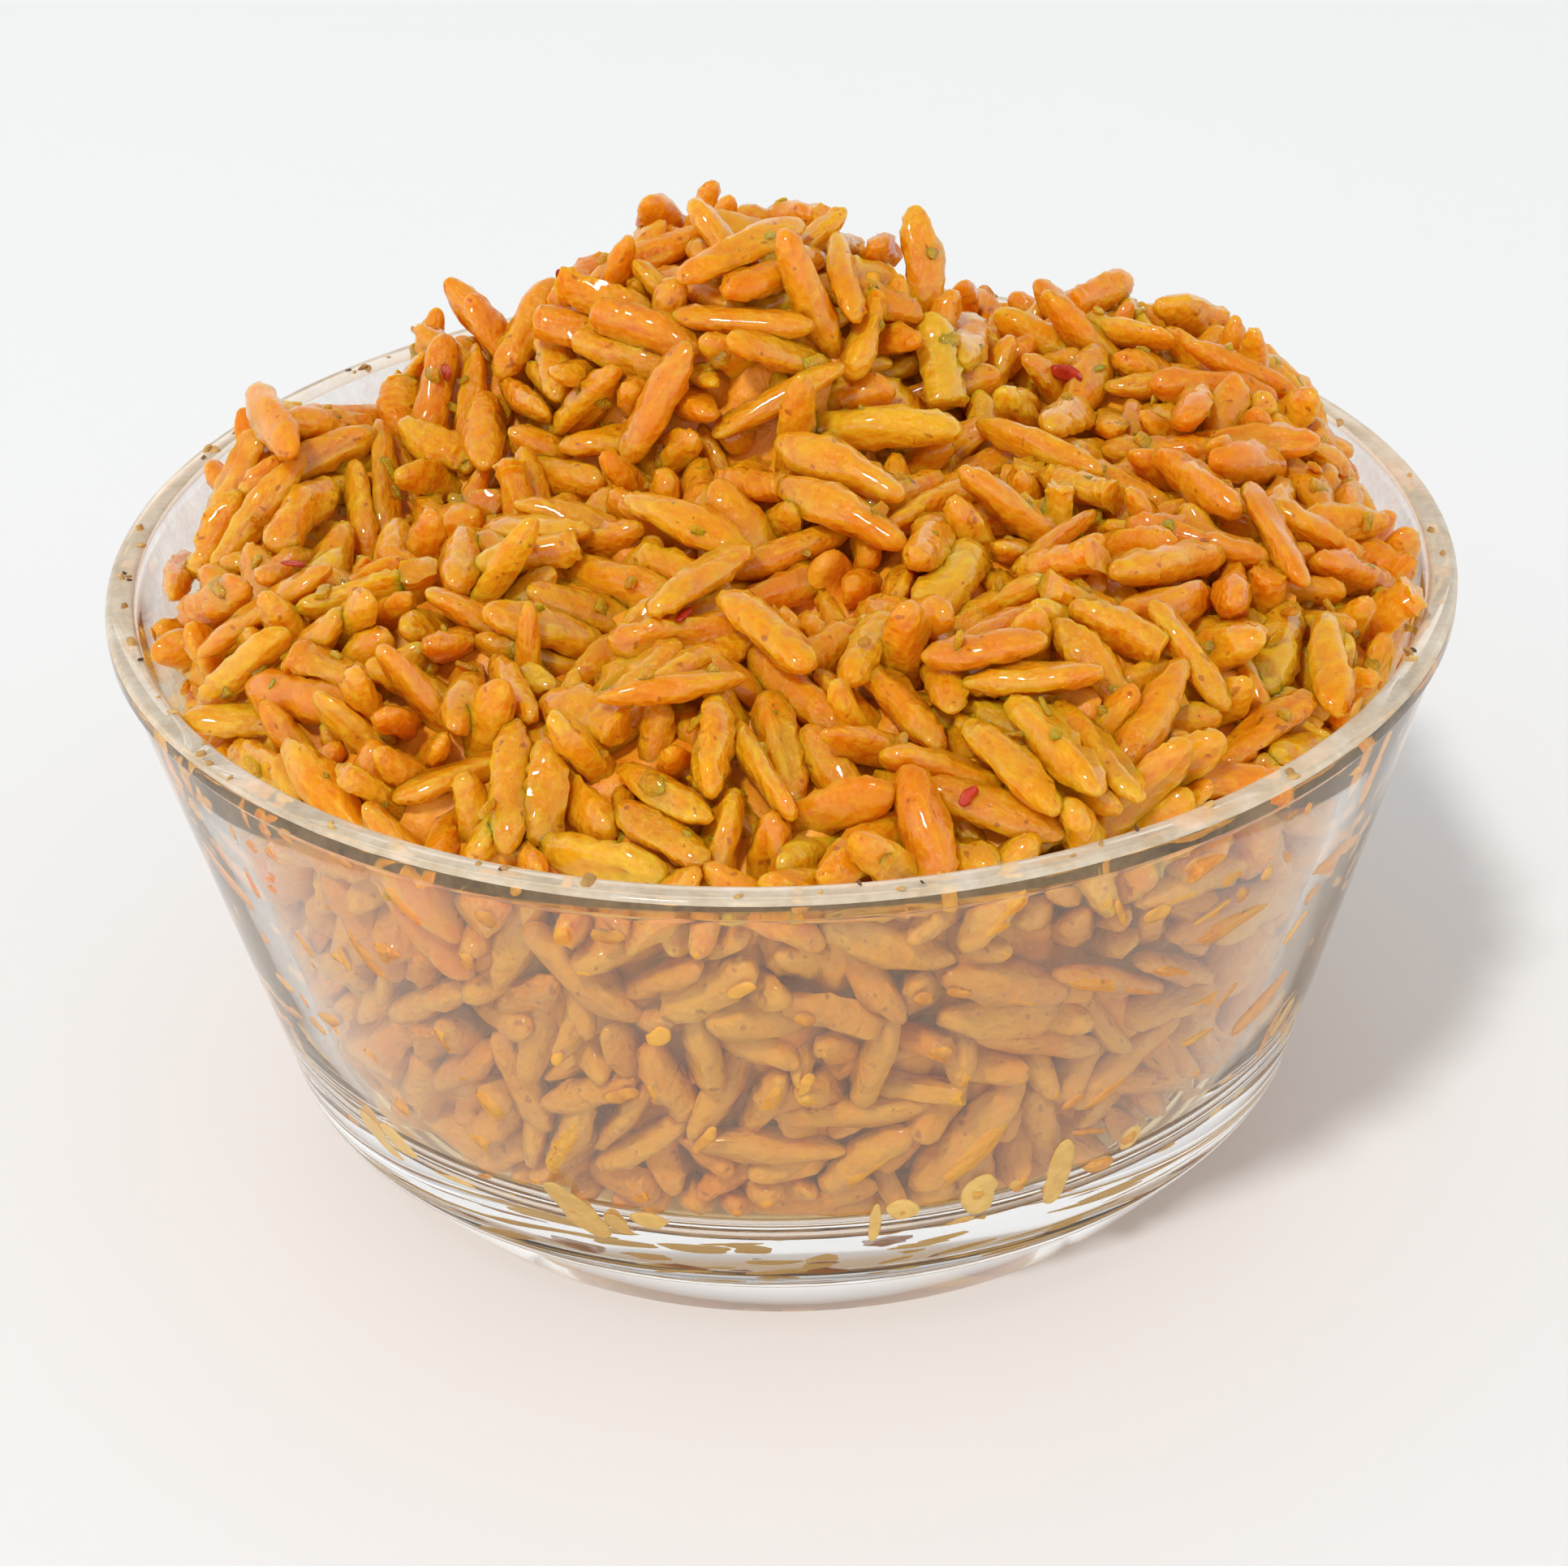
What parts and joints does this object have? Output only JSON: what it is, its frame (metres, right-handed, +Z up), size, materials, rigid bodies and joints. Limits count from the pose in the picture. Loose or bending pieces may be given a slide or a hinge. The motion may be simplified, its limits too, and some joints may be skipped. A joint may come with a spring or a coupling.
{
  "type": "bowl of jollof rice",
  "caption": "Small tapered clear glass bowl heaped above its rim with cooked long-grain jollof rice, standing on a narrow flat foot ring.",
  "frame": {"origin": "centre of the bowl's foot, on the plane it stands on", "axes": "+Z up along the bowl's axis, -Y towards the front, +X to the right"},
  "size_m": [0.09, 0.09, 0.0588],
  "materials": {
    "clear_glass": "clear, smooth, lightly smeared with oil",
    "cooked_rice": "oily cooked rice grains, golden orange"
  },
  "bodies": {
    "root": {"bowl": "clear_glass", "rice": "cooked_rice"}
  },
  "joints": []
}
